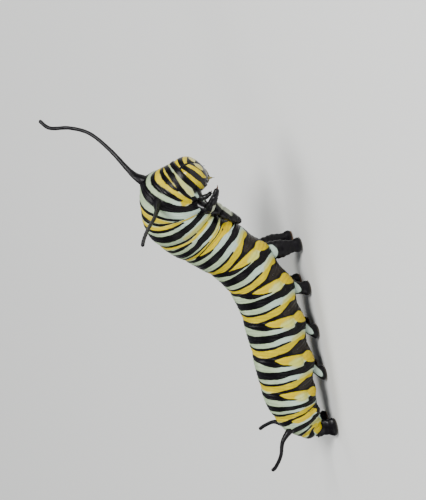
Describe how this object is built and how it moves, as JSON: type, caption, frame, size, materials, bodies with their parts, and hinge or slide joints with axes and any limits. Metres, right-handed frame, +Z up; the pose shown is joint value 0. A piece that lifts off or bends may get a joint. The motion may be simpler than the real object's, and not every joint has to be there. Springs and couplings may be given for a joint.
{
  "type": "monarch larva",
  "caption": "Life-size monarch larva standing on its prolegs, front body raised and head bent down to the right, with long front tentacles.",
  "frame": {"origin": "bottom centre of the box, on the floor that the prolegs stand on", "axes": "+X towards the head along the level rear half, +Y to the larva's left, +Z up from the floor"},
  "size_m": [0.034, 0.0196, 0.0191],
  "materials": {
    "skin": "satin banded black, white and yellow skin",
    "head_capsule": "glossy black capsule with yellow arcs",
    "tentacle": "satin black",
    "true_leg": "glossy black horn",
    "proleg": "satin black with a white side plate"
  },
  "bodies": {
    "root": {"head": "head_capsule", "prothorax": "skin", "mesothorax": "skin", "metathorax": "skin", "abdomen_1": "skin", "abdomen_2": "skin", "abdomen_3": "skin", "abdomen_4": "skin", "abdomen_5": "skin", "abdomen_6": "skin", "abdomen_7": "skin", "abdomen_8": "skin", "abdomen_9": "skin", "abdomen_10": "skin", "leg_1_right": "true_leg", "leg_2_right": "true_leg", "leg_3_right": "true_leg", "proleg_3_right": "proleg", "proleg_4_right": "proleg", "proleg_5_right": "proleg", "proleg_6_right": "proleg", "proleg_anal_right": "proleg", "leg_1_left": "true_leg", "leg_2_left": "true_leg", "leg_3_left": "true_leg", "proleg_3_left": "proleg", "proleg_4_left": "proleg", "proleg_5_left": "proleg", "proleg_6_left": "proleg", "proleg_anal_left": "proleg", "tentacle_front_left_1": "tentacle", "tentacle_front_left_2": "tentacle", "tentacle_front_left_3": "tentacle", "tentacle_front_right_1": "tentacle", "tentacle_front_right_2": "tentacle", "tentacle_front_right_3": "tentacle", "tentacle_rear_left": "tentacle", "tentacle_rear_right": "tentacle"}
  },
  "joints": []
}
